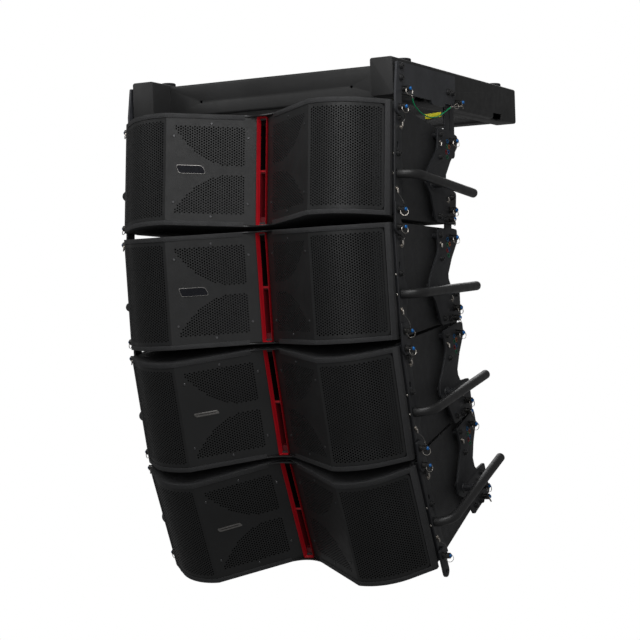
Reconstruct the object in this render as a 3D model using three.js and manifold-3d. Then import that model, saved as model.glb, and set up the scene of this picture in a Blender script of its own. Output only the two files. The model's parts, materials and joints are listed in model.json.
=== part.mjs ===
// A hung line array: a fly frame and four two-way curved cabinets, each hinged to the one above.
// Millimetres. +X right, +Y to the rear, +Z up. The origin is midway along the fly frame,
// on the plane of its beam tops.

import * as THREE from 'three';
import { mergeVertices } from 'three/addons/utils/BufferGeometryUtils.js';
import Module from 'manifold-3d';

const wasm = await Module();
wasm.setup();

// ---- driving dimensions -------------------------------------------------------------------

const CABINETS = 4;
const TILTS_DEG = [-4.5, 4.5, 14.5, 24.5]; // each cabinet's tilt, nose down positive
const CLEARANCE = 0.3; // between pieces that touch

// cabinet, in its own frame: x = 0 on the centre line, y = 0 at the front outer corner
const CAB_HALF_H = 125;
const CAB_HALF_W = 324;
const CAB_REAR = 290;
const WEDGE = Math.tan(THREE.MathUtils.degToRad(4.6)); // top and bottom close in to the rear
const WEDGE_START = 20;
const BOARD = 14;
const WALL = 15;
const GRILLE_HALF_H = 110.5;
const BAFFLE_FRONT = 28;
const BAFFLE_BACK = 43;

// front outline of one wing, seen from above
const HORN_EDGE = new THREE.Vector2(12.5, 20);
const SEAM = new THREE.Vector2(177.5, -98);
const BOW_CENTRE = new THREE.Vector2(199.6, 31.1);
const BOW_RADIUS = SEAM.distanceTo(BOW_CENTRE);
const BOW_STEPS = 8;
const BOW_END = THREE.MathUtils.degToRad(-45.1); // from here a straight run goes out to the lip
const LIP_HALF_W = 334.5;
const LIP_BACK = -9;
const GRILLE_SHEET = 2;
const GRILLE_RECESS = 1.5;

// drive units
const WOOFER_X = 185;
const WOOFER_HOLE_R = 93;
const HORN_HALF_W = 12.2;
const HORN_HALF_H = 121.3;
const HORN_FRONT = 16;
const HORN_BODY_HALF_W = 16;
const HORN_BODY_HALF_H = 103.5;
const HORN_BODY_BACK = 75;
const SLOT_NEAR_Z = 5;
const SLOT_FAR_Z = 102;
const DRIVER_R = 45;
const DRIVER_BACK = 112;

// side steelwork
const RAIL_IN = 330;
const RAIL_OUT = 335;
const LUG_IN = 335.4;
const LUG_OUT = 340.4;
const PLATE_IN = 336;
const PLATE_OUT = 341;
const LINK_IN = 330.5;
const LINK_OUT = 335.5;
const HANDLE_X = 373;
const HANDLE_Z = -30;
const HANDLE_R = 11;
const HANDLE_BEND = 38;
const HANDLE_FRONT_Y = 21;
const HANDLE_END_Y = 328;
const STANDOFF_Y = 181;
const STANDOFF_R = 8.5;
const RAIL_HALF_H = 124;
const RAIL_PADS = [[24, 92], [22, 14], [24, -88]];
const PLATE_PADS = [[222, 88], [220, -92], [176, -22]];

// hinge between bodies: a pin in the lower body's rail, through a lug of the upper body
const HINGE_Y = 12;
const HINGE_DROP = 12;
const CAB_GAP = 10;
const PIN_R = 4;
const PIN_HOLE_R = 4.4;
const HINGE_LOW = new THREE.Vector2(HINGE_Y, CAB_HALF_H - HINGE_DROP);
const HINGE_HIGH = new THREE.Vector2(HINGE_Y, -(CAB_HALF_H + CAB_GAP + HINGE_DROP));

// rear links
const LINK_PIVOT = new THREE.Vector2(280, -85);
const LINK_LENGTH = 75;
const LINK_HALF_W = 16;
const LINK_END = 14;
const LINK_CORNER = 8;
const LINK_HOLE_R = 5;
const PIVOT_R = 6;
const PIVOT_HOLE_R = 6.4;

// fly frame
const FRAME_LENGTH = 680;
const FRAME_FRONT = -FRAME_LENGTH / 2;
const BEAM_OUT = 330;
const BEAM_W = 54;
const BEAM_H = 83;
const BEAM_WALL = 4;
const CROSS_H = 75;
const CROSS_D = 50;
const CROSS_TOP = -4;
const FOOT_R = 18;
const FOOT_H = 9;
const FIRST_CAB = new THREE.Vector2(FRAME_FRONT - 15, -222.5);
const DROP_PIVOT = new THREE.Vector2(FRAME_FRONT + 278, -60);
const DROP_LENGTH = 125;
const DROP_HALF_W = 25;
const CHEEK_PADS = [[22, -22], [200, -40], [100, -60]];
const BEAM_NOTCHES = [111, 542];
const NOTCH_LENGTH = 50;
const NOTCH_SIDE = 14;

// ---- materials ----------------------------------------------------------------------------

function finish(color, roughness, metalness) {
  return new THREE.MeshStandardMaterial({ color, roughness, metalness });
}

const BLACK_PAINT = finish(0x17181a, 0.75, 0.0);
const BLACK_STEEL = finish(0x1c1d20, 0.5, 0.4);
const GRILLE_STEEL = finish(0x1a1b1d, 0.6, 0.3);
const RED_HORN = finish(0xb01522, 0.35, 0.2);
const DRIVER = finish(0x242424, 0.6, 0.2);
const STAINLESS = finish(0xb8bac0, 0.3, 1.0);
const BLUE_BUTTON = finish(0x1178b8, 0.4, 0.0);
const RUBBER = finish(0x202224, 0.85, 0.0);
const GREEN_WIRE = finish(0x0f8a55, 0.45, 0.0);

// ---- solids -------------------------------------------------------------------------------

function toSolid(geometry) {
  const bare = geometry.clone();
  bare.deleteAttribute('normal');
  bare.deleteAttribute('uv');
  const merged = mergeVertices(bare, 1e-4);
  return new wasm.Manifold(new wasm.Mesh({
    numProp: 3,
    vertProperties: new Float32Array(merged.attributes.position.array),
    triVerts: new Uint32Array(merged.index.array),
  }));
}

function toGeometry(solid) {
  const mesh = solid.getMesh();
  const geometry = new THREE.BufferGeometry();
  geometry.setAttribute('position', new THREE.BufferAttribute(mesh.vertProperties, 3));
  geometry.setIndex(new THREE.BufferAttribute(mesh.triVerts, 1));
  return geometry;
}

// A copy mirrored across the centre plane, with its faces still pointing out.
function mirrored(geometry) {
  const copy = geometry.clone();
  copy.scale(-1, 1, 1);
  const index = copy.index.array;
  for (let i = 0; i < index.length; i += 3) {
    [index[i], index[i + 1]] = [index[i + 1], index[i]];
  }
  return copy;
}

function block(x0, x1, y0, y1, z0, z1) {
  const geometry = new THREE.BoxGeometry(x1 - x0, y1 - y0, z1 - z0);
  geometry.translate((x0 + x1) / 2, (y0 + y1) / 2, (z0 + z1) / 2);
  return toSolid(geometry);
}

// Flat outline in (x, y), extruded upward from z0 to z1.
function prismZ(points, z0, z1) {
  const geometry = new THREE.ExtrudeGeometry(new THREE.Shape(points), {
    depth: z1 - z0, bevelEnabled: false, curveSegments: 8,
  });
  geometry.translate(0, 0, z0);
  return toSolid(geometry);
}

// Flat outline in (y, z), extruded outward from x0 to x1.
const OUTLINE_TO_SIDE = new THREE.Matrix4().set(
  0, 0, 1, 0,
  1, 0, 0, 0,
  0, 1, 0, 0,
  0, 0, 0, 1,
);

function prismX(points, x0, x1) {
  const geometry = new THREE.ExtrudeGeometry(new THREE.Shape(points), {
    depth: x1 - x0, bevelEnabled: false,
  });
  geometry.applyMatrix4(OUTLINE_TO_SIDE);
  geometry.translate(x0, 0, 0);
  return toSolid(geometry);
}

function rodX(radius, x0, x1, y, z, sides = 16) {
  const geometry = new THREE.CylinderGeometry(radius, radius, x1 - x0, sides);
  geometry.rotateZ(-Math.PI / 2);
  geometry.translate((x0 + x1) / 2, y, z);
  return toSolid(geometry);
}

function rodY(radius, y0, y1, x, z, sides = 24) {
  const geometry = new THREE.CylinderGeometry(radius, radius, y1 - y0, sides);
  geometry.translate(x, (y0 + y1) / 2, z);
  return toSolid(geometry);
}

function pointList(pairs) {
  return pairs.map(([a, b]) => new THREE.Vector2(a, b));
}

// ---- cabinet ------------------------------------------------------------------------------

// The wing's front line from the horn edge to the outer lip, set back by an inset.
function wingLine(inset) {
  const along = SEAM.clone().sub(HORN_EDGE).normalize();
  const inward = new THREE.Vector2(-along.y, along.x).multiplyScalar(inset);
  const radius = BOW_RADIUS - inset;
  const start = Math.atan2(SEAM.y - BOW_CENTRE.y, SEAM.x - BOW_CENTRE.x);
  const line = [HORN_EDGE.clone().add(inward)];
  for (let i = 0; i <= BOW_STEPS; i += 1) {
    const angle = start + (BOW_END - start) * i / BOW_STEPS;
    line.push(new THREE.Vector2(Math.cos(angle), Math.sin(angle))
      .multiplyScalar(radius).add(BOW_CENTRE));
  }
  const run = (LIP_HALF_W - BOW_CENTRE.x - BOW_RADIUS * Math.cos(BOW_END)) / -Math.sin(BOW_END);
  line.push(new THREE.Vector2(-Math.sin(BOW_END), Math.cos(BOW_END))
    .multiplyScalar(run).add(line[line.length - 1]));
  return line;
}

function mirrorPoint(point) {
  return new THREE.Vector2(-point.x, point.y);
}

function bothWings(line) {
  return [...line.map(mirrorPoint).reverse(), ...line];
}

function halfHeightAt(y) {
  return CAB_HALF_H - Math.max(0, y - WEDGE_START) * WEDGE;
}

// Side view of the cabinet's outside, or of its inside when it is set in by the boards.
function sideProfile(y0, y1, inset) {
  const ys = y0 < WEDGE_START ? [y0, WEDGE_START, y1] : [y0, y1];
  const upper = ys.map((y) => new THREE.Vector2(y, halfHeightAt(y) - inset));
  const lower = ys.map((y) => new THREE.Vector2(y, inset - halfHeightAt(y))).reverse();
  return [...upper, ...lower];
}

// The thin lip that rounds off the V above and below the horn.
function centreLip(z0, z1) {
  const reach = 38;
  const shape = new THREE.Shape();
  shape.moveTo(-reach, 1.8);
  shape.quadraticCurveTo(0, 20, reach, 1.8);
  shape.lineTo(reach, BAFFLE_FRONT);
  shape.lineTo(-reach, BAFFLE_FRONT);
  shape.closePath();
  return prismZ(shape.getPoints(6).slice(0, -1), z0, z1);
}

function enclosure() {
  const plan = [
    ...bothWings(wingLine(0)),
    new THREE.Vector2(LIP_HALF_W, LIP_BACK),
    new THREE.Vector2(CAB_HALF_W, LIP_BACK),
    new THREE.Vector2(CAB_HALF_W, CAB_REAR),
    new THREE.Vector2(-CAB_HALF_W, CAB_REAR),
    new THREE.Vector2(-CAB_HALF_W, LIP_BACK),
    new THREE.Vector2(-LIP_HALF_W, LIP_BACK),
  ];
  const inner = CAB_HALF_W - WALL;
  const recess = GRILLE_HALF_H + 0.8;
  const lipUnder = HORN_HALF_H + 0.5;
  const hornGap = HORN_HALF_W + 0.4;
  let body = prismZ(plan, -CAB_HALF_H, CAB_HALF_H);
  body = body.intersect(prismX(sideProfile(-200, CAB_REAR + 10, 0), -400, 400));
  body = body.add(centreLip(lipUnder, CAB_HALF_H)).add(centreLip(-CAB_HALF_H, -lipUnder));
  body = body.intersect(prismX(sideProfile(-200, CAB_REAR + 10, 0), -400, 400));
  body = body.subtract(block(-inner, inner, -200, BAFFLE_FRONT, -recess, recess));
  body = body.subtract(block(-400, 400, -200, -13, -recess, recess));
  body = body.subtract(prismX(sideProfile(BAFFLE_BACK, CAB_REAR - WALL, BOARD), -inner, inner));
  body = body.subtract(block(-hornGap, hornGap, -200, BAFFLE_FRONT, -lipUnder, lipUnder));
  body = body.subtract(block(-HORN_BODY_HALF_W - 0.5, HORN_BODY_HALF_W + 0.5,
    BAFFLE_FRONT - 1, BAFFLE_BACK + 1, -HORN_BODY_HALF_H - 3.5, HORN_BODY_HALF_H + 3.5));
  for (const side of [-1, 1]) {
    const hole = rodY(WOOFER_HOLE_R, BAFFLE_FRONT - 1, BAFFLE_BACK + 1, side * WOOFER_X, 0, 20);
    body = body.subtract(hole);
  }
  return toGeometry(body);
}

function grille() {
  const outer = wingLine(GRILLE_RECESS);
  const inner = wingLine(GRILLE_RECESS + GRILLE_SHEET).reverse();
  const sheet = prismZ([...outer, ...inner], -GRILLE_HALF_H, GRILLE_HALF_H);
  return toGeometry(sheet.intersect(block(13.2, 400, -200, 100, -200, 200)));
}

// Mouth bezel, horn body with an upper and a lower slot, and the compression driver behind it.
function waveguide() {
  const w = HORN_BODY_HALF_W;
  const h = HORN_BODY_HALF_H;
  let horn = block(-HORN_HALF_W, HORN_HALF_W, HORN_FRONT, BAFFLE_FRONT - CLEARANCE,
    -HORN_HALF_H, HORN_HALF_H);
  horn = horn.add(block(-w, w, BAFFLE_FRONT + CLEARANCE, HORN_BODY_BACK, -h, h));
  horn = horn.add(block(-HORN_HALF_W, HORN_HALF_W, BAFFLE_FRONT - 8, BAFFLE_FRONT + 12, -h, h));
  const slot = pointList([[-9.5, 10], [9.5, 10], [9.5, 16], [4, 66], [-4, 66], [-9.5, 16]]);
  for (const [z0, z1] of [[SLOT_NEAR_Z, SLOT_FAR_Z], [-SLOT_FAR_Z, -SLOT_NEAR_Z]]) {
    horn = horn.subtract(prismZ(slot, z0, z1));
  }
  return toGeometry(horn.add(rodY(DRIVER_R, HORN_BODY_BACK - 1, DRIVER_BACK, 0, 0, 20)));
}

function woofer() {
  const profile = pointList([
    [0, 52], [24, 48], [76, 24], [86, 19], [101, 20], [101, 27.7], [91, 27.7],
    [50, 80], [62, 82], [62, 112], [0, 112],
  ]);
  const geometry = new THREE.LatheGeometry(profile, 16);
  geometry.translate(WOOFER_X, 0, 0);
  return geometry;
}

// ---- side steelwork -----------------------------------------------------------------------

function rail() {
  const top = RAIL_HALF_H;
  const foot = 4 - RAIL_HALF_H;
  const outline = pointList([
    [5, foot], [46, foot], [48, -96], [39, -80], [38, -58], [47, -48], [47, -12], [38, -2],
    [38, 70], [48, 86], [46, top], [5, top],
  ]);
  let part = prismX(outline, RAIL_IN, RAIL_OUT);
  part = part.add(block(CAB_HALF_W + 0.4, RAIL_OUT, 5, 9, foot, top));
  for (const [y, z] of RAIL_PADS) {
    part = part.add(rodX(7, CAB_HALF_W + CLEARANCE, RAIL_IN + 1, y, z, 8));
  }
  return part.subtract(rodX(PIN_HOLE_R, CAB_HALF_W, RAIL_OUT + 1, HINGE_LOW.x, HINGE_LOW.y, 10));
}

// Rounded tongue that hangs below a body and takes the next cabinet's hinge pin.
function hingeLug(centre, top, halfWidth) {
  const outline = [
    new THREE.Vector2(centre.x - halfWidth, top),
    new THREE.Vector2(centre.x - halfWidth, centre.y),
  ];
  for (let i = 1; i < 6; i += 1) {
    const angle = Math.PI * (1 + i / 6);
    outline.push(new THREE.Vector2(
      centre.x + halfWidth * Math.cos(angle),
      centre.y + halfWidth * Math.sin(angle),
    ));
  }
  outline.push(new THREE.Vector2(centre.x + halfWidth, centre.y));
  outline.push(new THREE.Vector2(centre.x + halfWidth, top));
  const tongue = prismX(outline, LUG_IN, LUG_OUT);
  return tongue.subtract(rodX(PIN_HOLE_R, LUG_IN - 1, LUG_OUT + 1, centre.x, centre.y, 10));
}

function rearPlate() {
  const outline = pointList([
    [209, 103], [278, 104], [313, 99], [311, 72], [303, 64], [276, 36], [249, -3], [262, -25],
    [308, -31], [305, -104], [203, -110], [194, -89], [177, -54], [146, -31], [155, -3],
    [209, 55],
  ]);
  let part = prismX(outline.reverse(), PLATE_IN, PLATE_OUT);
  for (const [y, z] of PLATE_PADS) {
    part = part.add(rodX(8, CAB_HALF_W + CLEARANCE, PLATE_IN + 1, y, z, 8));
  }
  return part.add(rodX(PIVOT_R, LINK_IN, PLATE_IN + 1, LINK_PIVOT.x, LINK_PIVOT.y, 12));
}

// The handle's centre line: a quarter bend out of the rail in equal steps, then one straight run.
const BEND_STEPS = 6;

class HandleLine extends THREE.Curve {
  getUtoTmapping(u) {
    return u;
  }

  getPoint(t, target = new THREE.Vector3()) {
    const step = t * (BEND_STEPS + 1);
    const angle = Math.min(step / BEND_STEPS, 1) * Math.PI / 2;
    const bendEnd = HANDLE_FRONT_Y + HANDLE_BEND;
    const run = Math.max(step - BEND_STEPS, 0) * (HANDLE_END_Y - bendEnd);
    return target.set(
      HANDLE_X - HANDLE_BEND + HANDLE_BEND * Math.sin(angle),
      bendEnd - HANDLE_BEND * Math.cos(angle) + run,
      HANDLE_Z,
    );
  }
}

function circle(radius, sides) {
  const points = [];
  for (let i = 0; i < sides; i += 1) {
    const angle = 2 * Math.PI * i / sides;
    points.push(new THREE.Vector2(radius * Math.cos(angle), radius * Math.sin(angle)));
  }
  return new THREE.Shape(points);
}

function handle() {
  const tube = new THREE.ExtrudeGeometry(circle(HANDLE_R, 10), {
    steps: BEND_STEPS + 1, bevelEnabled: false, extrudePath: new HandleLine(),
  });
  const plug = new THREE.LatheGeometry(pointList([
    [0, -1], [HANDLE_R - 0.7, -1], [HANDLE_R - 0.7, 2], [HANDLE_R - 4, 6], [0, 6],
  ]), 10);
  plug.translate(HANDLE_X, HANDLE_END_Y, HANDLE_Z);
  const standoff = rodX(STANDOFF_R, PLATE_OUT - 1, HANDLE_X - 4, STANDOFF_Y, HANDLE_Z, 8);
  return toSolid(tube).add(toSolid(plug)).add(standoff);
}

// Front rail, hinge lug, grab handle and rear plate, welded into one side frame.
function sideFrame() {
  const lugPad = block(RAIL_OUT - 1, LUG_IN + 1, 5, HINGE_Y + 10, -118, -98);
  const parts = [rearPlate(), handle(), hingeLug(HINGE_HIGH, -94, 14), lugPad];
  return toGeometry(parts.reduce((whole, part) => whole.add(part), rail()));
}

// ---- links and pins -----------------------------------------------------------------------

// Flat link hanging from its pivot at (0, 0) in (y, z).
function flatLink(length, halfWidth, slotTop) {
  const foot = -length - LINK_END;
  const outline = pointList([
    [-halfWidth, LINK_END], [-halfWidth, foot + LINK_CORNER], [LINK_CORNER - halfWidth, foot],
    [halfWidth - LINK_CORNER, foot], [halfWidth, foot + LINK_CORNER], [halfWidth, LINK_END],
  ]);
  let link = prismX(outline, LINK_IN, LINK_OUT - CLEARANCE);
  link = link.subtract(rodX(PIVOT_HOLE_R, LINK_IN - 1, LINK_OUT + 1, 0, 0, 12));
  link = link.subtract(rodX(LINK_HOLE_R, LINK_IN - 1, LINK_OUT + 1, 0, -length, 10));
  if (slotTop) {
    link = link.subtract(block(LINK_IN - 1, LINK_OUT + 1, -2.5, 2.5, 16 - length, slotTop));
  }
  return toGeometry(link);
}

const PIN_HEAD_IN = LUG_OUT + 0.5;
const PIN_HEAD_OUT = PIN_HEAD_IN + 16;

function pin() {
  const shank = rodX(PIN_R - 0.1, RAIL_IN - 3, PIN_HEAD_IN + 1, 0, 0, 10);
  const head = rodX(8, PIN_HEAD_IN, PIN_HEAD_OUT, 0, 0, 14);
  const bore = rodX(4.1, PIN_HEAD_OUT - 8, PIN_HEAD_OUT + 1, 0, 0, 12);
  return toGeometry(shank.add(head).subtract(bore));
}

function pinButton() {
  return toGeometry(rodX(3.6, PIN_HEAD_OUT - 4.5, PIN_HEAD_OUT + 3.5, 0, 0, 12));
}

// ---- fly frame ----------------------------------------------------------------------------

function beam() {
  const inside = BEAM_OUT - BEAM_W;
  const w = BEAM_WALL;
  let part = block(inside, BEAM_OUT, FRAME_FRONT, -FRAME_FRONT, -BEAM_H, 0);
  part = part.subtract(block(inside + w, BEAM_OUT - w, FRAME_FRONT + w, -FRAME_FRONT - w,
    w - BEAM_H, -w));
  for (const from of BEAM_NOTCHES) {
    const y = FRAME_FRONT + from;
    part = part.subtract(block(BEAM_OUT - NOTCH_SIDE, BEAM_OUT + 1, y, y + NOTCH_LENGTH,
      -BEAM_H - 1, NOTCH_SIDE - BEAM_H));
  }
  return toGeometry(part);
}

function crossbeam(front) {
  const end = BEAM_OUT - BEAM_W - CLEARANCE;
  const w = BEAM_WALL;
  const tube = block(-end, end, front, front + CROSS_D, CROSS_TOP - CROSS_H, CROSS_TOP);
  return toGeometry(tube.subtract(block(-end - 1, end + 1, front + w, front + CROSS_D - w,
    CROSS_TOP - CROSS_H + w, CROSS_TOP - w)));
}

// Outer plate of the frame: it carries the front hinge lug and the drop link's pivot.
function cheekPlate() {
  const hinge = firstHinge();
  const outline = pointList([
    [FRAME_FRONT + 2, -12], [FRAME_FRONT + 2, -79], [FRAME_FRONT + 302, -79],
    [FRAME_FRONT + 302, -12],
  ]);
  let part = prismX(outline, LUG_IN, LUG_OUT).add(hingeLug(hinge, -70, 14));
  for (const [y, z] of CHEEK_PADS) {
    part = part.add(rodX(7, BEAM_OUT + CLEARANCE, LUG_IN + 1, FRAME_FRONT + y, z, 8));
  }
  return toGeometry(part.add(rodX(PIVOT_R, BEAM_OUT + CLEARANCE, LUG_IN + 1,
    DROP_PIVOT.x, DROP_PIVOT.y, 12)));
}

function foot() {
  const profile = pointList([[0, CLEARANCE], [FOOT_R, CLEARANCE], [FOOT_R, FOOT_H - 2],
    [FOOT_R - 2, FOOT_H], [0, FOOT_H]]);
  const geometry = new THREE.LatheGeometry(profile, 16);
  geometry.rotateX(Math.PI / 2);
  return geometry;
}

// Route of the green lanyard between the frame's front pin and its rear chain.
const LANYARD_R = 1.4;
const LANYARD_ROUTE = [
  [348, -282, -88], [348, -279, -94], [348, -272, -101.5], [348, -261, -107.5],
  [348, -248, -112.5], [348, -234, -116.3], [348, -219, -118.9], [348, -203, -120.3],
  [348, -187, -120.2], [348, -171, -118.4], [348, -156, -115.2], [348, -141, -110.8],
  [348, -126, -105.4], [348, -112, -99.8], [348, -98, -94], [348, -84, -88],
];

function lanyard() {
  const route = new THREE.CatmullRomCurve3(LANYARD_ROUTE.map((p) => new THREE.Vector3(...p)));
  return new THREE.ExtrudeGeometry(circle(LANYARD_R, 8), {
    steps: 24, bevelEnabled: false, extrudePath: route,
  });
}

// ---- assembly -----------------------------------------------------------------------------

function rotated(point, degrees) {
  return point.clone().rotateAround(new THREE.Vector2(0, 0), THREE.MathUtils.degToRad(degrees));
}

// Origin of each cabinet in (y, z), following the chain of hinges down from the frame.
function cabinetOrigins() {
  const origins = [FIRST_CAB.clone()];
  for (let i = 1; i < CABINETS; i += 1) {
    const hinge = origins[i - 1].clone().add(rotated(HINGE_HIGH, TILTS_DEG[i - 1]));
    origins.push(hinge.sub(rotated(HINGE_LOW, TILTS_DEG[i])));
  }
  return origins;
}

function firstHinge() {
  return FIRST_CAB.clone().add(rotated(HINGE_LOW, TILTS_DEG[0]));
}

const group = new THREE.Group();

function place(parent, name, geometry, material, y = 0, z = 0) {
  const mesh = new THREE.Mesh(geometry, material);
  mesh.name = name;
  mesh.position.set(0, y, z);
  parent.add(mesh);
  return mesh;
}

function placePair(parent, name, suffix, geometry, material, y = 0, z = 0) {
  place(parent, `${name}_right${suffix}`, geometry, material, y, z);
  place(parent, `${name}_left${suffix}`, mirrored(geometry), material, y, z);
}

function addFrame() {
  placePair(group, 'frame_beam', '', beam(), BLACK_STEEL);
  placePair(group, 'cheek_plate', '', cheekPlate(), BLACK_STEEL);
  place(group, 'crossbeam_front', crossbeam(FRAME_FRONT + 74), BLACK_STEEL);
  place(group, 'crossbeam_rear', crossbeam(-FRAME_FRONT - CROSS_D), BLACK_STEEL);
  const footX = BEAM_OUT - BEAM_W / 2;
  for (const [end, y] of [['front', FRAME_FRONT + 110], ['rear', FRAME_FRONT + 610]]) {
    const right = place(group, `foot_${end}_right`, foot(), RUBBER, y);
    const left = place(group, `foot_${end}_left`, foot(), RUBBER, y);
    right.position.x = footX;
    left.position.x = -footX;
  }
  placePair(group, 'drop_link', '', flatLink(DROP_LENGTH, DROP_HALF_W, -26), BLACK_STEEL,
    DROP_PIVOT.x, DROP_PIVOT.y);
  place(group, 'lanyard', lanyard(), GREEN_WIRE);
}

function addCabinet(number, origin, shapes) {
  const cabinet = new THREE.Group();
  cabinet.position.set(0, origin.x, origin.y);
  cabinet.rotation.x = THREE.MathUtils.degToRad(TILTS_DEG[number - 1]);
  group.add(cabinet);
  const suffix = `_${number}`;
  place(cabinet, `enclosure${suffix}`, shapes.enclosure, BLACK_PAINT);
  place(cabinet, `waveguide${suffix}`, shapes.waveguide, RED_HORN);
  placePair(cabinet, 'grille', suffix, shapes.grille, GRILLE_STEEL);
  placePair(cabinet, 'woofer', suffix, shapes.woofer, DRIVER);
  placePair(cabinet, 'side_frame', suffix, shapes.sideFrame, BLACK_STEEL);
  place(cabinet, `hinge_pin${suffix}`, shapes.pin, STAINLESS, HINGE_LOW.x, HINGE_LOW.y);
  place(cabinet, `pin_button${suffix}`, shapes.button, BLUE_BUTTON, HINGE_LOW.x, HINGE_LOW.y);
  if (number < CABINETS) {
    placePair(cabinet, 'rear_link', `_${number + 1}`, shapes.link, BLACK_STEEL,
      LINK_PIVOT.x, LINK_PIVOT.y);
  }
}

addFrame();
const shapes = {
  enclosure: enclosure(),
  waveguide: waveguide(),
  grille: grille(),
  woofer: woofer(),
  sideFrame: sideFrame(),
  pin: pin(),
  button: pinButton(),
  link: flatLink(LINK_LENGTH, LINK_HALF_W),
};
cabinetOrigins().forEach((origin, index) => addCabinet(index + 1, origin, shapes));

export default group;
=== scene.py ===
# A hung line array: fly frame and four curved cabinets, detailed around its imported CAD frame.
import json
from math import atan2, cos, pi, radians, sin, tan

import bmesh
import bpy
from mathutils import Matrix, Vector
from mathutils.geometry import delaunay_2d_cdt, tessellate_polygon


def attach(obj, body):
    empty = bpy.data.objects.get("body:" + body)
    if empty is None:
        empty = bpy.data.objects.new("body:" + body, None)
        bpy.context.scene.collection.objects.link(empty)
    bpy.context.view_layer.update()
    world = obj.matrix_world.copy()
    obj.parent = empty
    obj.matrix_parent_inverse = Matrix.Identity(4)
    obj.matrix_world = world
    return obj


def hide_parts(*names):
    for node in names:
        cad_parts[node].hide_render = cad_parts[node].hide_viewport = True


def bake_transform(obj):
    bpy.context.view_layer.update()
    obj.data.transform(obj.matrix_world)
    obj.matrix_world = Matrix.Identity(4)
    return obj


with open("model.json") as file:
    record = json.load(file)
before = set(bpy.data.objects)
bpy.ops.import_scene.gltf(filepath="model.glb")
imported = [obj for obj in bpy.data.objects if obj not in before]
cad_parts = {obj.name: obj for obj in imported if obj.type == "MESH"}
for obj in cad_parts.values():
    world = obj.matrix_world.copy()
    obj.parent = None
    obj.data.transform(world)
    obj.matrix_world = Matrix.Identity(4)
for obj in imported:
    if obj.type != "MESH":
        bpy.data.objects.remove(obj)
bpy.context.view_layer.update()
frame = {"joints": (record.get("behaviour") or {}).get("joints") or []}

# ---- driving dimensions, in millimetres ----
# Cabinet frame: x = 0 on the centre line, y = 0 at the front outer corner, z = 0 mid height.

MM = 0.001
CABINETS = (1, 2, 3, 4)
TILTS_DEG = {1: -4.5, 2: 4.5, 3: 14.5, 4: 24.5}
SIDES = ("right", "left")

HALF_H = 125
HALF_W = 324
REAR = 290
WEDGE = tan(radians(4.6))
WEDGE_START = 20
BOARD = 14
WALL = 15
BAFFLE_FRONT = 28
BAFFLE_BACK = 43
RECESS = 114.7

HORN_EDGE = Vector((12.5, 20))
SEAM = Vector((177.5, -98))
BOW_CENTRE = Vector((199.6, 31.1))
BOW_R = (SEAM - BOW_CENTRE).length
FLAT = (SEAM - HORN_EDGE).length
ALONG = (SEAM - HORN_EDGE).normalized()
INWARD = Vector((-ALONG.y, ALONG.x))
BOW_START = atan2(SEAM.y - BOW_CENTRE.y, SEAM.x - BOW_CENTRE.x)
BOW_END = radians(-45.1)
BOW = (BOW_END - BOW_START) * BOW_R
LIP_W, LIP_BACK = 334.5, -9
RUN = (LIP_W - BOW_CENTRE.x - BOW_R * cos(BOW_END)) / -sin(BOW_END)
WING = FLAT + BOW + RUN

GRILLE_HALF_H = 114
GRILLE_SHEET = 1.6
GRILLE_RECESS = 1.5
GRILLE_START = 0.9
GRILLE_END = WING - 13
TAB = 28
PITCH = 6.0
HOLE_R = 2.0
HOLE_SIDES = 8

BADGE_S = 147
WOOFER_X = 185
WOOFER_HOLE_R = 93
SOCKET_X = 42
HORN_W = 12.2
HORN_H = 121.3
HORN_FRONT = 16
HORN_BACK = 75

RAIL_IN, RAIL_OUT = 330, 335
LUG_IN, LUG_OUT = 335.4, 340.4
PLATE_IN, PLATE_OUT = 336, 341
LINK_IN, LINK_OUT = 330.5, 335.2
HANDLE_X, HANDLE_Z, HANDLE_R = 373, -30, 10.45
HANDLE_BEND = 38
HANDLE_FRONT, HANDLE_END = 21, 334
STANDOFF_Y = 181
PIN_BORE = 4.4
PAD_R, PIVOT_R, BOLT_R, CHEEK_BOLT_R = 8, 6, 6, 7
HINGE = Vector((12, 113))
LOWER_HINGE = Vector((12, -147))
LOCK_PIN = Vector((12, -109))
LINK_PIVOT = Vector((280, -85))
LINK_LENGTH = 75

FRAME_FRONT = -340
BEAM_OUT, BEAM_W, BEAM_H = 330, 54, 83
CROSS_H, CROSS_D, CROSS_TOP = 75, 50, -4
DROP_PIVOT = Vector((FRAME_FRONT + 278, -60))
DROP_LENGTH = 125
BEAM_WALL = 4
NOTCHES = (111, 542)
FEET_Y = {"front": FRAME_FRONT + 110, "rear": FRAME_FRONT + 610}
TAG_AT = Vector((114, 284, -53))
TAG_TURN_DEG, TAG_TILT_DEG = 5, -4
MIRROR = Matrix.Diagonal((-1, 1, 1, 1))
UPSIDE_DOWN = Matrix.Diagonal((1, 1, -1, 1))
FORWARD = Matrix.Rotation(pi / 2, 4, "Z")

# ---- shapes: a shape is a list of points in millimetres and a list of faces ----


def merge(*shapes):
    points, faces = [], []
    for some_points, some_faces in shapes:
        base = len(points)
        points.extend(some_points)
        faces.extend([[i + base for i in face] for face in some_faces])
    return points, faces


def moved(shape, matrix):
    return [matrix @ Vector(p) for p in shape[0]], shape[1]


def shift(x=0, y=0, z=0):
    return Matrix.Translation((x, y, z))


def circle(u, v, radius, sides=24, turn=0.0):
    step = 2 * pi / sides
    return [(u + radius * cos(turn + i * step), v + radius * sin(turn + i * step))
            for i in range(sides)]


def stadium(u, v, length, width, angle=0.0, steps=6):
    """Slot outline of an overall length and width, turned by an angle."""
    reach, radius = (length - width) / 2, width / 2
    points = []
    for end, start in ((reach, -pi / 2), (-reach, pi / 2)):
        for i in range(steps + 1):
            a = start + pi * i / steps
            points.append((end + radius * cos(a), radius * sin(a)))
    c, s = cos(angle), sin(angle)
    return [(u + p * c - q * s, v + p * s + q * c) for p, q in points]


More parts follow.
